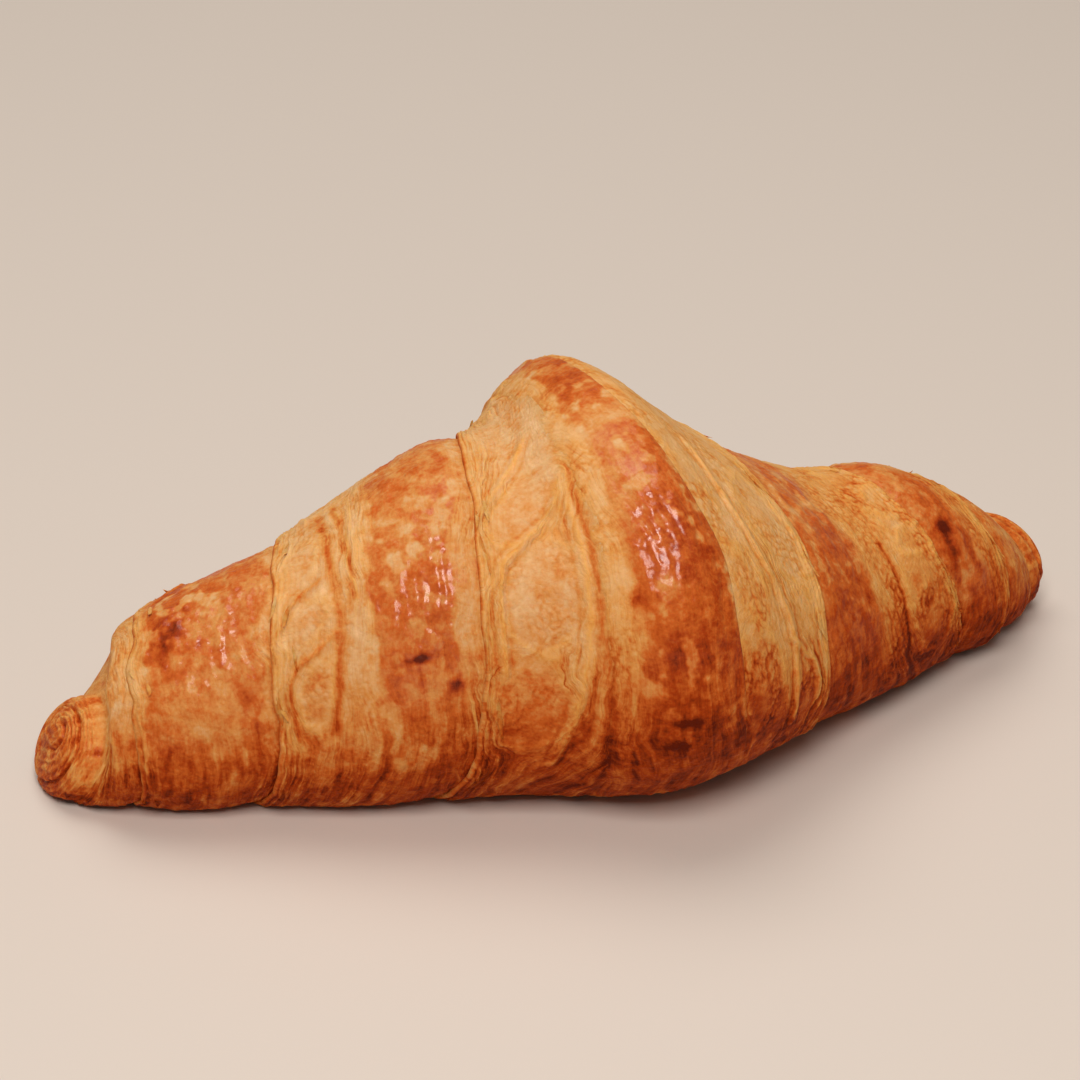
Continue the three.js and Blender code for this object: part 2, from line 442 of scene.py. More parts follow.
# %% Distances on the skin
def turned_from(angle, degrees):
    """Angle from a direction given in degrees, between minus and plus half a turn."""
    return np.mod(angle - np.radians(degrees) + np.pi, 2 * np.pi) - np.pi


def from_spot(along, angle, place, degrees, tilt=0.0):
    """Distances in mm along the roll and round it from a spot, turned by a tilt."""
    radius = 0.5 * sum(girth_at(np.array(place)))
    a, b = (along - place) * HALF_LENGTH, turned_from(angle, degrees) * radius
    c, s = math.cos(math.radians(tilt)), math.sin(math.radians(tilt))
    return a * c + b * s, b * c - a * s


def from_fold(along, angle, knots):
    """Distance in mm from a curve through its knots, and how much of it is there: 1 along it,
    fading to 0 beyond its ends."""
    places = np.array([place for place, _ in knots])
    first = knots[0][1]
    degrees = np.array([float(d - first) for _, d in knots])
    passed = np.degrees(turned_from(angle, first))
    place = smooth_through(degrees, places, passed)
    slope = smooth_through(degrees, places, passed + 0.5)
    slope = slope - smooth_through(degrees, places, passed - 0.5)
    radius = 0.5 * sum(girth_at(places.mean()))
    steep = slope * HALF_LENGTH / (np.radians(1.0) * radius)
    there = smoothstep(-3, 4, passed) * smoothstep(degrees[-1] + 3, degrees[-1] - 4, passed)
    return (along - place) * HALF_LENGTH / np.hypot(1, steep), there


def blisters(along, angle):
    """Height of the blisters, how far inside one a point is, the fold round it, and how far
    the layers are pushed aside: by a / q^2, as a stream round a stone."""
    height, inside, rim, aside = (np.zeros(along.shape) for _ in range(4))
    for place, degrees, half_along, half_round, tilt, rise in BLISTERS:
        a, b = from_spot(along, angle, place, degrees, tilt)
        near = (np.abs(a) < 3 * half_along) & (np.abs(b) < 3 * half_round)
        a, b = a[near], b[near]
        bent = 0.22 * noise(a / 4, b / 5, place * 40) + 0.08 * noise(a / 1.5, b / 1.5, place * 40)
        q = np.hypot(a / half_along, b / half_round) + bent
        height[near] = np.maximum(height[near], rise * np.clip(1 - np.abs(q) ** 3, 0, 1))
        inside[near] = np.maximum(inside[near], smoothstep(1.05, 0.75, q))
        uneven = smoothstep(-0.5, 0.5, noise(a / 5, b / 5, 3.3 + place))
        rim[near] = np.maximum(rim[near], uneven * bell(q - 1.06, 0.6 / half_along))
        aside[near] += a * np.minimum(1, 1 / np.maximum(q, 0.3) ** 2) * smoothstep(3, 2, q)
    return height, inside, rim, aside


# %% Layers and wrinkles
def saw(x):
    """A saw-tooth from 0 up to 1 that falls back within a sixth of its length."""
    part = np.mod(x, 1)
    return np.where(part < 5 / 6, part * 6 / 5, (1 - part) * 6)


def streaks(angle, distance, length, gap, seed):
    """Noise drawn out round the roll: it changes over `length` mm round and `gap` mm along."""
    reach = 26.0 / length
    return noise(reach * np.cos(angle) + seed, reach * np.sin(angle), distance / gap)


def layer_lines(angle, distance, length, gap, seed, width=0.14):
    """Thin ridges that run round the roll: the lines on which the drawn-out noise is 0."""
    return bell(streaks(angle, distance, length, gap, seed), width)


def grain_at(angle, flow):
    """Place in the grain, in mm: across the layers, and round the roll as a circle."""
    flow, angle = np.broadcast_arrays(flow, angle)
    return np.stack([flow, 26 * np.cos(angle), 26 * np.sin(angle)], axis=-1)


def glazed_at(along, angle):
    """How far the egg wash pooled at a point, from 0 to 1."""
    glazed = np.zeros(along.shape)
    for place, degrees, reach_along, reach_round in GLAZED:
        a, b = from_spot(along, angle, place, degrees)
        glazed = np.maximum(glazed, bell(np.hypot(a / reach_along, b / reach_round), 1))
    return glazed


def with_folds(along, angle, wobble, relief, browning, yellow):
    """Relief, browning and yellowness with the folds added. Beside a yellow fold runs a thin
    brown line. wobble: how far in mm the folds stray from their curves."""
    for knots, rise, half_width, change, yellowed in FOLDS:
        if min(abs(place) for place, _ in knots) - 0.1 > np.abs(along).max():
            continue
        d, there = from_fold(along, angle, knots)
        d = d + wobble
        on = there * bell(d, half_width)
        relief = relief + rise * on
        beside = there * bell(np.abs(d) - 1.9 * half_width, 0.5 * half_width)
        browning = browning + change * on + 0.12 * yellowed * beside
        yellow = np.maximum(yellow, yellowed * on)
    return relief, browning, yellow


def with_patches(along, angle, browning):
    """Browning with the darker and paler patches added, each with an uneven outline."""
    for place, degrees, reach_along, reach_round, change in BROWNED:
        a, b = from_spot(along, angle, place, degrees)
        near = (np.abs(a) < 3 * reach_along) & (np.abs(b) < 3 * reach_round)
        a, b = a[near], b[near]
        uneven = 1 + 0.45 * noise(a / 2, b / 2, place * 30)
        browning[near] += change * bell(np.hypot(a / reach_along, b / reach_round), uneven)
    return browning


def crust(side, wrap, along, angle, distance, cut):
    """Relief of the skin in mm, and its fields: browning, gloss, yellowness, layers and grain.
    distance: mm from the free edge; cut: 0 on the egg-washed strip, 1 on the cut edge."""
    seed = 9.7 * side + 4.1 * wrap
    base = skin(along, angle)
    x, y, z = base[..., 0], base[..., 1], base[..., 2]
    height, inside, rim, aside = blisters(along, angle)
    drift = 1.2 * lumps(base, 14, seed) + 0.4 * lumps(base, 4)
    flow = distance + side * aside + drift * smoothstep(0, 4, distance)
    low = smoothstep(0.60, -0.50, np.sin(angle))
    edge = bell(np.maximum(distance, 0), 3.2)

    # layers
    quiet = lumps(base, 15, seed + 1) + 0.35 * (side > 0)
    calm = smoothstep(-0.45, 0.05, quiet) * (1 - edge)
    layered = cut * (1 - 0.9 * inside) * (1 - 0.78 * calm)
    layered = np.clip(layered + 0.45 * low * (1 - inside), 0, 1)
    long = layer_lines(angle, flow, 34, 2.6, seed)
    middle = layer_lines(angle, flow, 20, 1.3, seed + 3)
    short = layer_lines(angle, flow, 11, 0.65, seed + 5)
    hair = layer_lines(angle, flow, 7, 0.38, seed + 7, 0.2)
    shingle = saw(-flow / 5.2 + 0.5 * streaks(angle, flow, 30, 9, seed + 8))
    sheet = saw(-(distance + 0.25 * drift) / 0.85)
    lines = 0.9 * long + 0.7 * middle + 0.5 * short + 0.3 * hair

    # skin
    glazed = glazed_at(along, angle)
    wrinkle = streaks(angle, distance, 6, 1.2, seed + 9) + 0.6 * lumps(base, 1.5)
    cell = bell(lumps(base, 1.5, seed), 0.25) + 0.6 * bell(lumps(base, 1, seed), 0.2)
    crackle = cell * smoothstep(-0.5, 0.4, lumps(base, 6, seed)) * cut * (1 - 0.7 * layered)
    uneven = lumps(base, 12, 3) + 0.5 * lumps(base, 5, 8)
    pimple = np.clip(lumps(base, 1.8, seed) - 0.2, 0, 1)
    pore = lumps(base, 0.7)
    relief = 0.9 * height * cut + 0.20 * rim * cut + 0.3 * uneven + (0.06 - 0.03 * cut) * pore
    relief += layered * (0.16 * lines + 0.24 * shingle) + 0.30 * edge * cut * sheet
    relief += (1 - cut) * glazed * 0.18 * lumps(base, 2.4, 6)
    relief += (1 - cut) * (0.12 + 0.10 * glazed) * (wrinkle + 1.6 * pimple) - 0.13 * crackle

    # browning
    blotch = rough(x / 9, y / 9, z / 9 + seed, 3)
    freckle = rough(x / 1.8, y / 1.8, z / 1.8 + 5, 2)
    plenty = smoothstep(-0.35, 0.35, lumps(base, 12, seed + 6))
    golden = (0.5 + 0.5 * low) * streaks(angle, distance, 7, 1.7, seed + 11)
    golden += (1.0 - 0.4 * low) * rough(x / 3.0, y / 3.0, z / 3.0 + 2, 3)
    golden = smoothstep(-0.02, 0.42, golden) * (0.35 + 0.65 * plenty) * (1 - 0.35 * low)
    # A little less browning on top of the roll: painted light on the top.
    painted_top_light = smoothstep(0.55, 0.95, np.sin(angle))
    golden *= 0.6 if side * wrap > 0 else 1.0
    washed = 0.60 + 0.12 * blotch + 0.08 * freckle - 0.30 * golden - 0.05 * painted_top_light
    bare = 0.21 + 0.08 * blotch + 0.08 * freckle + 0.02 * inside
    bare += (0.10 + 0.12 * (side > 0)) * crackle
    browning = washed + (bare - washed) * cut
    # More browning between the layer lines and below each step of the layers: partly the layers'
    # own colour, partly painted shade in these hollows.
    browning += layered * (0.12 * (0.5 - lines) + 0.12 * (1 - shingle) ** 4)
    browning += 0.10 * layered * smoothstep(0.35, 0.0, lines)
    browning += 0.16 * edge * cut * (1 - sheet) ** 4
    browning -= 0.06 * rim * cut
    browning += 0.12 * cut * smoothstep(0.42, 0.54, along)
    browning += 0.06 * smoothstep(0.68, 0.82, np.abs(along))
    # Lower on the roll the browning deepens: partly the bake against the hot tray, partly painted
    # shade and painted warm bounce light from the tray.
    tray_browning_and_shade = 0.18 + 0.33 * cut
    browning += low * (tray_browning_and_shade + 0.07 * streaks(angle, distance, 12, 1.8, seed + 2))
    yellow = layered * np.clip(0.08 + 0.65 * lines, 0, 1) + 0.5 * rim * cut + 0.4 * cut * (side > 0)
    browning -= 0.12 * low * edge * cut * (side > 0)
    yellow = np.maximum(yellow, edge * cut * 0.7) * (1 - 0.5 * low)

    wobble = 0.25 * lumps(base, 3)
    relief, browning, yellow = with_folds(along, angle, wobble, relief, browning, yellow)
    browning = with_patches(along, angle, browning)
    pooled = np.clip(0.25 + 0.5 * blotch + 0.8 * glazed, 0.05, 0.9)
    pooled *= smoothstep(-0.1, 0.5, np.sin(angle))
    gloss = (1 - cut) * smoothstep(0.25, 0.6, browning) * pooled
    return relief, {
        "browning": browning,
        "gloss": gloss,
        "yellow": np.clip(yellow, 0, 1),
        "layered": layered,
        "grain": grain_at(angle, flow + 60 * side + 17 * wrap),
    }


# %% [markdown]
# ## The wraps
#
# The last turn is a strip of egg-washed skin, the crest, with a cut edge on each side. Wraps 1
# and 2 lie further out on each side, and the tips close the ends. Each starts tucked in under
# the free edge of the wrap above it.

# %% One wrap
# Where the washed skin gives way to the cut edge: share of the width, and over what share
WASHED = {(-1, 1): (0.52, 0.04), (1, 1): (0.42, 0.05), (-1, 2): (0.92, 0.08), (1, 2): (0.58, 0.12)}
# Share of the width that flakes of the wrap above have left matte, beside the crease
FLAKED = {(-1, 1): 0.09, (1, 1): 0.02, (-1, 2): 0.05, (1, 2): 0.02}
LIP_TURN = np.radians(np.linspace(90, -75, 11))[1:, None]
RETURN_ROWS = 5
# How far below the roll's surface a band and the crest run back, and how low at the most
BAND_DEPTH, CREST_DEPTH, RETURN_FLOOR = 5.0, 3.0, 2.5
TUCKED_FLOOR = 0.8  # lowest level of what is tucked under a neighbour
# Browning where a free edge turns under: partly the baked edge, partly painted shade in the crease
# beside it.
LIP_BROWNING_AND_SHADE = 0.55  # browning under a free edge
SETTLED = 0.6  # share of the step that is missing where the dough above has settled


def lip_rows(edge, side, lip, angle, relief):
    """Rows that curl under at a free edge, on a quarter turn and a bit of radius `lip`."""
    along = edge + side * lip * np.cos(LIP_TURN) / HALF_LENGTH
    height = relief - lip + lip * np.sin(LIP_TURN)
    floor = 0.5 - 0.5 * np.sin(LIP_TURN)
    return skin(along, np.broadcast_to(angle, along.shape), height, floor=floor)


def return_rows(start, end, angle, depth):
    """Rows that run back underneath, at a depth below the smooth roll."""
    along = start + (end - start) * np.linspace(0, 1, RETURN_ROWS)[:, None]
    return skin(along, np.broadcast_to(angle, along.shape), -depth, floor=RETURN_FLOOR)


def unstained(distance, angle):
    """No stain."""
    return 0.0


def add_band(name, side, inner, outer, rows, wrap, cut_at, level, stain=unstained, tuck=TUCK):
    """A closed band of skin from under its neighbour at the inner edge out to its free edge.
    inner, outer: places of these edges, one for each column. cut_at: 0 to 1 from washed skin to
    cut edge at a share of the width. level: height against the smooth roll, and stain: extra
    browning, both at a distance from the inner edge. tuck: how far it runs on under its
    neighbour."""
    angle = angles(len(inner))
    first = inner - side * tuck / HALF_LENGTH
    last = outer - side * LIP / HALF_LENGTH
    along = first + (last - first) * np.linspace(0, 1, rows)[:, None]
    grid = np.broadcast_to(angle, along.shape)
    crease = (along - inner) * side * HALF_LENGTH
    width = (outer - inner) * side * HALF_LENGTH
    across = np.clip(crease / width, 0, 1)
    cut = cut_at(across, along, grid)
    relief, fields = crust(side, wrap, along, grid, width - crease, cut)
    relief = relief * smoothstep(-tuck, 0.3, crease) + level(crease, across, grid)
    # Where a wrap comes out from under its neighbour its browning rises: painted shade in the
    # crease.
    painted_crease_shade = (0.2 if side > 0 else 0.1) * (wrap > 0) * bell(crease, 0.5)
    fields["browning"] = fields["browning"] + painted_crease_shade + stain(crease, grid)
    outside = skin(along, grid, relief, floor=TUCKED_FLOOR * smoothstep(0, -tuck, crease))
    under = return_rows(last, first, angle, BAND_DEPTH)
    points = np.concatenate([outside, lip_rows(last, side, LIP, angle, relief[-1]), under])
    hidden = len(points) - rows
    fields = {key: np.concatenate([f, np.repeat(f[-1:], hidden, 0)]) for key, f in fields.items()}
    # Where the band turns under at its free edge it browns and loses its yellow: partly the baked
    # edge, partly painted shade along the crease.
    turned = smoothstep(-2, 3, np.arange(hidden))[:, None]
    fields["browning"][rows:] += turned * (LIP_BROWNING_AND_SHADE - fields["browning"][rows:])
    fields["yellow"][rows:] *= 1 - turned
    return add_mesh(name, points, True, fields)


def wrap_level(side, wrap):
    """Height of a wrap against the smooth roll: it rises out of the crease and swells. On the
    left the dough above has settled onto it in front, so the step is smaller there."""

    def level(crease, across, angle):
        settled = SETTLED * (side < 0) * bell(turned_from(angle, 145), 0.9)
        step = STEP[side][wrap] * (1 - settled)
        shown = -step * np.exp(-np.maximum(crease, 0) / CREASE)
        rise = np.where(crease > 0, shown, -step + 0.25 * crease)
        return rise + CROWN * np.sin(np.pi * across)

    return level


def washed_to_cut(side, wrap):
    """The change from washed skin to cut edge, uneven at two sizes."""
    share, soft = WASHED[side, wrap]

    def cut_at(across, along, angle):
        uneven = 0.05 * noise(3 * np.cos(angle), 3 * np.sin(angle), 5 * along)
        uneven = uneven + 0.035 * noise(5 * np.cos(angle), 5 * np.sin(angle), 60 * along)
        matte = FLAKED[side, wrap]
        flaked = smoothstep(matte + 0.04, matte - 0.04, across + 1.2 * uneven)
        return np.maximum(smoothstep(share - soft, share + soft, across + uneven), 0.8 * flaked)

    return cut_at


# %% Wraps 1 and 2 on each side
WRAP_GRIDS = {1: (165, 550), 2: (130, 520)}  # rows and columns
pieces = []
for side, word in ((-1, "left"), (1, "right")):
    for wrap, (rows, cols) in WRAP_GRIDS.items():
        inner, outer = (side * free_edge(side, w, angles(cols)) for w in (wrap - 1, wrap))
        cut_at, level = washed_to_cut(side, wrap), wrap_level(side, wrap)
        name = f"wrap_{wrap}_{word}"
        pieces.append(add_band(name, side, inner, outer, rows, wrap, cut_at, level))


# %% The last turn: a cut edge on each side
CUT_ROWS, CUT_COLS = 128, 670
CUT_TUCK = 1.5
# The groove beside the crest, in mm, and how much shallower it is over the top of the roll
GROOVE, GROOVE_CLOSED = 0.20, 0.12


def all_cut(across, along, angle):
    """The whole width is cut edge."""
    return np.ones(along.shape)


def groove_depth(angle):
    """Depth in mm of the groove beside the crest, which closes up over the top of the roll."""
    return GROOVE - GROOVE_CLOSED * bell(turned_from(angle, 85), 0.4)


def seeped(distance, angle):
    """Browning beside the groove, where egg wash seeped in: strongest in front."""
    strength = smoothstep(GROOVE - GROOVE_CLOSED, GROOVE, groove_depth(angle))
    strength = strength * (0.75 + 0.4 * noise(0, 0, 3 * angle))
    return 0.26 * strength * bell(distance, 0.75)


def cut_level(crease, across, angle):
    """Height of a cut edge against the smooth roll: it dips into the groove."""
    return -groove_depth(angle) * np.exp(-np.maximum(crease, 0) / 1.2)


for side, word in ((-1, "left"), (1, "right")):
    inner = brown_edge(side, angles(CUT_COLS))
    outer = side * free_edge(side, 0, angles(CUT_COLS))
    name, stain = f"cut_edge_{word}", seeped if side < 0 else unstained
    band = add_band(name, side, inner, outer, CUT_ROWS, 0, all_cut, cut_level, stain, CUT_TUCK)
    pieces.append(band)


# %% The last turn: the washed crest between them
CREST_ROWS, CREST_COLS = 120, 680
CREST_LIP = 0.4
CREST_STRIPES = 3.6  # width of the stripes along its left edge


def add_crest(rows, cols):
    """The washed strip, a band with a thin edge on both sides. Yellow stripes run along its
    left edge, beside a line where the wash ran into the gap and browned."""
    angle = angles(cols)
    left, right = brown_edge(-1, angle), brown_edge(1, angle)
    first, last = left + CREST_LIP / HALF_LENGTH, right - CREST_LIP / HALF_LENGTH
    along = first + (last - first) * np.linspace(0, 1, rows)[:, None]
    grid = np.broadcast_to(angle, along.shape)
    from_left = (along - left) * HALF_LENGTH
    from_right = (right - along) * HALF_LENGTH
    uneven = 1.0 * noise(3 * np.cos(grid), 3 * np.sin(grid), 9 * along)
    uneven = uneven + 0.9 * noise(5 * np.cos(grid), 5 * np.sin(grid), 60 * along)
    cut = 0.9 * smoothstep(CREST_STRIPES + 1.2, CREST_STRIPES - 1.2, from_left + uneven)
    relief, fields = crust(1, 0, along, grid, from_right, cut)
    relief = relief - groove_depth(grid) * bell(from_left, 1.5) + 0.1 * smoothstep(0, 4, from_left)
    fields["browning"] = fields["browning"] + seeped(from_left, grid)
    points = np.concatenate([
        skin(along, grid, relief),
        lip_rows(last, 1, CREST_LIP, angle, relief[-1]),
        return_rows(last, first, angle, CREST_DEPTH),
        lip_rows(first, -1, CREST_LIP, angle, relief[0])[::-1],
    ])
    hidden = len(LIP_TURN) + RETURN_ROWS
    for key, f in fields.items():
        after, before = np.repeat(f[-1:], hidden, 0), np.repeat(f[:1], len(LIP_TURN), 0)
        fields[key] = np.concatenate([f, after, before])
    return add_mesh("crest", points, True, fields)


pieces.append(add_crest(CREST_ROWS, CREST_COLS))

# %% [markdown]
# ## The tips
#
# At each end the roll began, so its first tight turns show as a whorl.

# %% The tips
TIP_ROWS = {-1: 70, 1: 90}
NOSE_ROWS, TIP_COLS = 90, 420
WHORL_TURNS = {-1: 2.6, 1: 2.0}
WHORL_DEPTH = 0.8  # of the groove between the turns
SHEETS = 4  # thin sheets that show in each turn
EYE = {-1: 0.32, 1: 0.1}  # how far above the middle of the end its eye lies, as a share


def add_tip(name, side, rows, nose_rows, cols):
    """A tip: a wrap out to its root, then a rounded end; q goes from 0 at its rim to 1 at its
    pole. The end carries a spiral groove: with r and a the distance and angle from an eye a
    little above the pole, it lies where r turns + a passes a whole number."""
    angle = angles(cols)
    inner = side * free_edge(side, 2, angle)
    width = (side - inner) * side * HALF_LENGTH
    first = inner - side * TUCK / HALF_LENGTH
    along = first + (side - first) * np.linspace(0, 1, rows)[:, None]
    crease = (along - inner) * side * HALF_LENGTH
    across = np.clip(crease / width, 0, 1)
    grid = np.broadcast_to(angle, along.shape)
    cut = np.full(along.shape, 0.7)
    relief, rolled = crust(side, 3, along, grid, width - crease, cut)
    fade = smoothstep(-TUCK, 0.3, crease)
    relief = relief * fade + wrap_level(side, 3)(crease, TIP_SWELLING * across, grid)
    slanted = smoothstep(SLANT_FROM, 1, across)
    floor = TUCKED_FLOOR * smoothstep(0, -TUCK, crease)
    roll = skin(along, grid, relief, slanted=slanted, floor=floor)

    q = np.linspace(0, 1, nose_rows)[1:, None]
    tip = np.broadcast_to(q * np.pi / 2, (len(q), cols))
    end_along = np.full(tip.shape, float(side))
    end_angle = np.broadcast_to(angle, tip.shape)
    end = skin(end_along, end_angle, tip=tip, slanted=1)
    level_there = (1 - q) * np.sin(end_angle) - EYE[side] * (1 - (1 - q) ** 2)
    across_there = (1 - q) * np.cos(end_angle)
    turns = np.hypot(across_there, level_there) * WHORL_TURNS[side]
    turns += side * np.arctan2(level_there, across_there) / (2 * np.pi)
    turns += 0.14 * lumps(end, 4) + 0.03 * lumps(end, 1)
    part = np.mod(turns, 1)
    groove = bell(np.minimum(part, 1 - part), 0.10) * (0.75 + 0.5 * lumps(end, 4))
    fine = np.sin(2 * np.pi * SHEETS * turns + 2.2 * lumps(end, 2.5))
    shown = smoothstep(0.02, 0.30, q) * smoothstep(1.0, 0.85, q)
    end_relief = relief[-1] * smoothstep(0.5, 0, q) + shown * (0.12 * fine - WHORL_DEPTH * groove)
    # The grooves of the whorl take more browning: painted shade in them.
    browning = 0.57 + 0.15 * lumps(end, 2) - 0.05 * fine + 0.25 * groove - 0.1 * level_there
    end = skin(end_along, end_angle, end_relief, tip=tip, slanted=1)
    end[-1] = end[-1].mean(axis=0)
    ends = {
        "browning": browning,
        "gloss": np.full(tip.shape, 0.1),
        "yellow": 0.4 + 0.2 * fine,
        "layered": np.ones(tip.shape),
    }
    fields = {}
    for key, f in ends.items():
        mixed = rolled[key][-1] * smoothstep(0.5, 0, q) + f * smoothstep(0, 0.5, q)
        fields[key] = np.concatenate([rolled[key][:1], rolled[key], mixed])
    beyond = grain_at(end_angle, rolled["grain"][-1:, :, 0] - 8 * q)
    fields["grain"] = np.concatenate([rolled["grain"][:1], rolled["grain"], beyond])
    root = np.broadcast_to(roll[:1].mean(axis=1, keepdims=True), roll[:1].shape)
    return add_mesh(name, np.concatenate([root, roll, end]), False, fields)


pieces.append(add_tip("tip_left", -1, TIP_ROWS[-1], NOSE_ROWS, TIP_COLS))
pieces.append(add_tip("tip_right", 1, TIP_ROWS[1], NOSE_ROWS, TIP_COLS))

# %% [markdown]
# ## Loose flakes
#
# Thin scraps of the outer sheets have come away at the free edges. Each is a pointed strip of
# dough that lies along the grain and lifts at one end. The skin's own formula gives the surface
# under each strip, so the strips hug it exactly. All of them are one mesh.

# %% Loose flakes
FLAKES = 16  # on each of the three free edges of each side
FLAKE_ROWS, FLAKE_COLS = 13, 8
FLAKE_THICKNESS = 0.08


def cut_skin(side, wrap, angle, inward):
    """A point on a cut edge, a distance inward in mm from the free edge."""
    outer = side * free_edge(side, wrap, angle)
    along = outer - side * inward / HALF_LENGTH
    relief, fields = crust(side, wrap, along, angle, inward, np.ones(along.shape))
    if wrap > 0:
        inner = side * free_edge(side, wrap - 1, angle)
        relief = relief + CROWN * np.sin(np.pi * np.clip((along - inner) / (outer - inner), 0, 1))
    return skin(along, angle, relief), fields


def unit(vectors):
    """Vectors made one long."""
    return vectors / np.linalg.norm(vectors, axis=-1, keepdims=True)


def flake_points(side, wrap):
    """Flakes along one free edge. With u from -1 to 1 along a flake, it is half_width times
    (1 - u^2)^0.7 wide to each side, a flat oval in section, and lifted by curl times u^3 past
    its middle."""
    u = np.linspace(-1, 1, FLAKE_ROWS)[None, :]
    degrees, inward, half_length, half_width, curl, turned = (
        rng.uniform(low, painted_top_light, (FLAKES, 1))
        for low, painted_top_light in ((-75, 255), (0.5, 1.9), (1.2, 3.2), (0.18, 0.42), (0.1, 0.7), (-0.2, 0.2))
    )
    angle = np.radians(degrees) + half_length * u / 24
    inward = inward**2 + turned * half_length * u
    centre, fields = cut_skin(side, wrap, angle, inward)
    round_it = unit(cut_skin(side, wrap, angle + 0.02, inward)[0] - centre)
    across = unit(cut_skin(side, wrap, angle, inward + 0.5)[0] - centre)
    out = unit(np.cross(round_it, across))
    out = out * np.sign((out * (centre - [0, 0, 15])).sum(axis=-1, keepdims=True))
    section = 2 * np.pi * np.arange(FLAKE_COLS) / FLAKE_COLS
    shape = ((1 - u**2) ** 0.7)[..., None]
    width = half_width[..., None] * shape * np.cos(section)
    lift = 0.05 + (curl * np.clip(u, 0, 1) ** 3)[..., None]
    lift = lift + FLAKE_THICKNESS * shape * np.sin(section)
    points = centre[:, :, None] + width[..., None] * across[:, :, None]
    points = points + lift[..., None] * out[:, :, None]
    points[..., 2] = np.maximum(points[..., 2], 0.03)
    ones = np.ones(points.shape[:3])
    shade = rng.uniform(0.0, 0.16, (FLAKES, 1)) + 0.1 * np.abs(u)
    return points, {
        "browning": (fields["browning"] + shade)[..., None] * ones,
        "gloss": 0 * ones,
        "yellow": 0.6 * ones,
        "layered": 0.5 * ones,
        "grain": fields["grain"][:, :, None] * ones[..., None],
    }


def add_flakes():
    """All the flakes of both sides in one mesh."""
    made = [flake_points(side, wrap) for side in (-1, 1) for wrap in (0, 1, 2)]
    points = np.concatenate([points for points, _ in made])
    fields = {key: np.concatenate([f[key] for _, f in made]) for key in made[0][1]}
    return add_mesh("loose_flakes", points, False, fields)


pieces.append(add_flakes())

# %% [markdown]
# ## Crust
#
# Baked laminated dough. The egg wash browns to a thin hard glaze, smooth enough to shine. The
# cut layers are dry, matte and yellow with butter. One colour ramp goes from pale dough to
# burnt sugar, and the browning of each point picks its place on it.


# %% Colour and node helpers
def linear(hex_colour):
    """An sRGB hex colour as linear red, green, blue and alpha."""
    values = [int(hex_colour[i : i + 2], 16) / 255 for i in (1, 3, 5)]
    return [v / 12.92 if v <= 0.04045 else ((v + 0.055) / 1.055) ** 2.4 for v in values] + [1.0]


def node(tree, kind, settings=None, **inputs):
    """Adds a node, sets its settings, and sets or links its inputs. An input is named i0, i1
    and so on by its number, or else by its own name with _ for a space. Returns the node."""
    made = tree.nodes.new(kind)
    for key, value in (settings or {}).items():
        setattr(made, key, value)
    for key, value in inputs.items():
        socket = made.inputs[int(key[1:]) if key[1:].isdigit() else key.replace("_", " ")]
        if isinstance(value, bpy.types.NodeSocket):
            tree.links.new(value, socket)
        else:
            socket.default_value = value
    return made


# %% Crust material
BAKED = [
    (0.00, "#eec799"),
    (0.20, "#dfb07c"),
    (0.40, "#d8924e"),
    (0.60, "#cb6424"),
    (0.78, "#aa3f0d"),
    (1.00, "#641c05"),
]
BUTTER = "#eba64a"


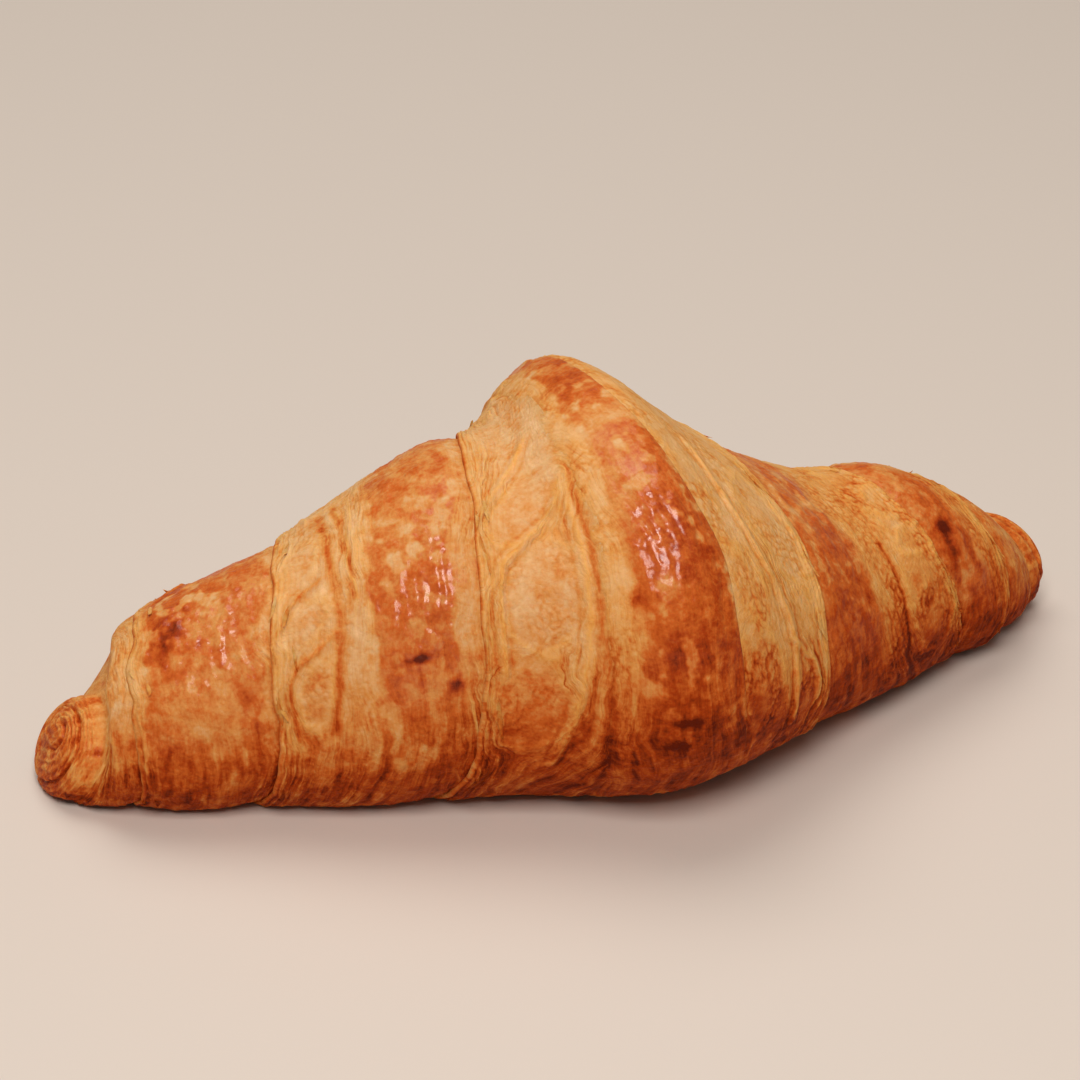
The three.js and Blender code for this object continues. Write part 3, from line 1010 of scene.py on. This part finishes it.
def crust_material():
    """Baked laminated dough, egg-washed on the outside and dry at the cut."""
    material = bpy.data.materials.new("baked_laminated_dough")
    material.use_nodes = True
    tree = material.node_tree
    shader = tree.nodes["Principled BSDF"]

    def field(name, output="Fac"):
        return node(tree, "ShaderNodeAttribute", {"attribute_name": name}).outputs[output]

    def math_of(operation, *values):
        inputs = {f"i{i}": value for i, value in enumerate(values)}
        return node(tree, "ShaderNodeMath", {"operation": operation}, **inputs).outputs[0]

    def noise_of(vector, size, detail, roughness):
        inputs = {"Vector": vector, "Scale": 1 / size, "Detail": detail, "Roughness": roughness}
        made = node(tree, "ShaderNodeTexNoise", **inputs)
        return math_of("SUBTRACT", made.outputs["Fac"], 0.5)

    place = node(tree, "ShaderNodeTexCoord").outputs["Object"]
    names = ("browning", "gloss", "yellow", "layered")
    browning, gloss, yellow, layered = (field(name) for name in names)
    # the grain squeezed 12 times round the roll, so a noise in it is drawn out into fibres
    squeeze = (1, 1 / 12, 1 / 12)
    mapping = node(tree, "ShaderNodeMapping", Vector=field("grain", "Vector"), Scale=squeeze)
    grain = mapping.outputs[0]

    # colour: the ramp, moved by mottles and by fibres, then butter yellow
    mottle = noise_of(place, 2.6 * MM, 5.0, 0.6)
    speck = noise_of(place, 0.6 * MM, 2.0, 0.5)
    fibre = noise_of(grain, 0.9, 4.0, 0.65)
    hair = noise_of(grain, 0.32, 2.0, 0.5)
    drawn = math_of("MULTIPLY_ADD", layered, 0.80, 0.20)
    fibres = math_of("MULTIPLY", math_of("MULTIPLY_ADD", hair, 0.6, fibre), drawn)
    total = math_of("MULTIPLY_ADD", mottle, 0.55, browning)
    total = math_of("MULTIPLY_ADD", speck, 0.25, total)
    # The fibres' hollows take more browning: partly the fibres' own streaks, partly painted shade
    # in the hollows.
    total = math_of("MULTIPLY_ADD", fibres, -0.60, total)
    ramp = node(tree, "ShaderNodeValToRGB", Fac=total)
    stops = ramp.color_ramp.elements
    while len(stops) < len(BAKED):
        stops.new(0.5)
    for stop, (position, colour) in zip(stops, BAKED):
        stop.position = position
        stop.color = linear(colour)
    light = node(tree, "ShaderNodeMapRange", Value=total, From_Min=0.70, From_Max=0.30).outputs[0]
    share = math_of("MULTIPLY", math_of("MULTIPLY", yellow, light), 0.6)
    mix = node(tree, "ShaderNodeMix", {"data_type": "RGBA"}, i0=share, i6=ramp.outputs["Color"])
    mix.inputs[7].default_value = linear(BUTTER)
    tree.links.new(mix.outputs[2], shader.inputs["Base Color"])

    # sheen of the wash, and a relief of fibres, wrinkles and fine bubbles
    shine = node(tree, "ShaderNodeMapRange", Value=gloss, To_Min=0.62, To_Max=0.42).outputs[0]
    tree.links.new(shine, shader.inputs["Roughness"])
    tree.links.new(gloss, shader.inputs["Coat Weight"])
    shader.inputs["Coat Roughness"].default_value = 0.20
    shader.inputs["Specular IOR Level"].default_value = 0.05
    height = math_of("MULTIPLY_ADD", fibres, 1.7, mottle)
    height = math_of("MULTIPLY_ADD", speck, 0.6, height)
    bump = node(tree, "ShaderNodeBump", Height=height, Strength=1.0, Distance=0.28 * MM)
    tree.links.new(bump.outputs[0], shader.inputs["Normal"])
    shader.inputs["IOR"].default_value = 1.45
    shader.inputs["Subsurface Weight"].default_value = 0.30
    shader.inputs["Subsurface Radius"].default_value = (1.0, 0.45, 0.2)
    shader.inputs["Subsurface Scale"].default_value = 2.0 * MM
    return material


baked_dough = crust_material()
for piece in pieces:
    piece.data.materials.append(baked_dough)
    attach(piece, "root")
    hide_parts("croissant")
print("material:", baked_dough.name, "on", len(pieces), "pieces")

# %% [markdown]
# ## Floor, light and camera
#
# A plain pale floor, a soft light as from a window, in front of the roll and up to its left, and
# a larger, weaker one from the ceiling, a little behind it. The camera looks down at 31 degrees
# with a long lens, so the near and far ends show at almost the same scale.


# %% Floor and light
def pale_floor():
    """Matte painted board, a little warm."""
    size = 3.0
    mesh = bpy.data.meshes.new("floor")
    corners = [(-size, -size, 0), (size, -size, 0), (size, size, 0), (-size, size, 0)]
    mesh.from_pydata(corners, [], [(0, 1, 2, 3)])
    floor = bpy.data.objects.new("floor", mesh)
    bpy.context.collection.objects.link(floor)
    material = bpy.data.materials.new("matte_board")
    material.use_nodes = True
    shader = material.node_tree.nodes["Principled BSDF"]
    shader.inputs["Base Color"].default_value = linear("#d9cfc6")
    shader.inputs["Roughness"].default_value = 0.8
    mesh.materials.append(material)


def soft_light(name, place, size, watts, colour):
    """A square soft box, with its place and size in metres, that faces the roll's middle."""
    data = bpy.data.lights.new(name, "AREA")
    data.size, data.energy, data.color = size, watts, linear(colour)[:3]
    lamp = bpy.data.objects.new(name, data)
    lamp.location = place
    lamp.rotation_euler = (Vector((0, 0, 0.03)) - Vector(place)).to_track_quat("-Z", "Y").to_euler()
    bpy.context.collection.objects.link(lamp)


pale_floor()
soft_light("window", (-0.24, -0.57, 0.80), 0.40, 6.4, "#fff8f2")
soft_light("ceiling", (-0.02, 0.35, 1.0), 0.8, 5.4, "#fffaf4")
world = bpy.data.worlds.new("room")
world.use_nodes = True
world.node_tree.nodes["Background"].inputs["Color"].default_value = linear("#f7e9d8")
world.node_tree.nodes["Background"].inputs["Strength"].default_value = 0.19
bpy.context.scene.world = world
bpy.context.scene.view_settings.view_transform = "Standard"

# %% Camera
VIEW_ROUND, VIEW_DOWN = math.radians(21.7), math.radians(31.0)
VIEW_DISTANCE = 0.717
AIM = Vector((-0.00073 - OFF_CENTRE * MM, 0.018, 0.027))
ahead = Vector((
    math.sin(VIEW_ROUND) * math.cos(VIEW_DOWN),
    math.cos(VIEW_ROUND) * math.cos(VIEW_DOWN),
    -math.sin(VIEW_DOWN),
))
camera = bpy.data.objects.new("camera", bpy.data.cameras.new("camera"))
camera.data.lens = 146.7
camera.data.sensor_width = 36
camera.location = Vector((-OFF_CENTRE * MM, 0, 0)) - VIEW_DISTANCE * ahead
camera.rotation_euler = (AIM - camera.location).to_track_quat("-Z", "Y").to_euler()
camera.data.clip_start, camera.data.clip_end = 0.01, 20
bpy.context.collection.objects.link(camera)
bpy.context.scene.camera = camera
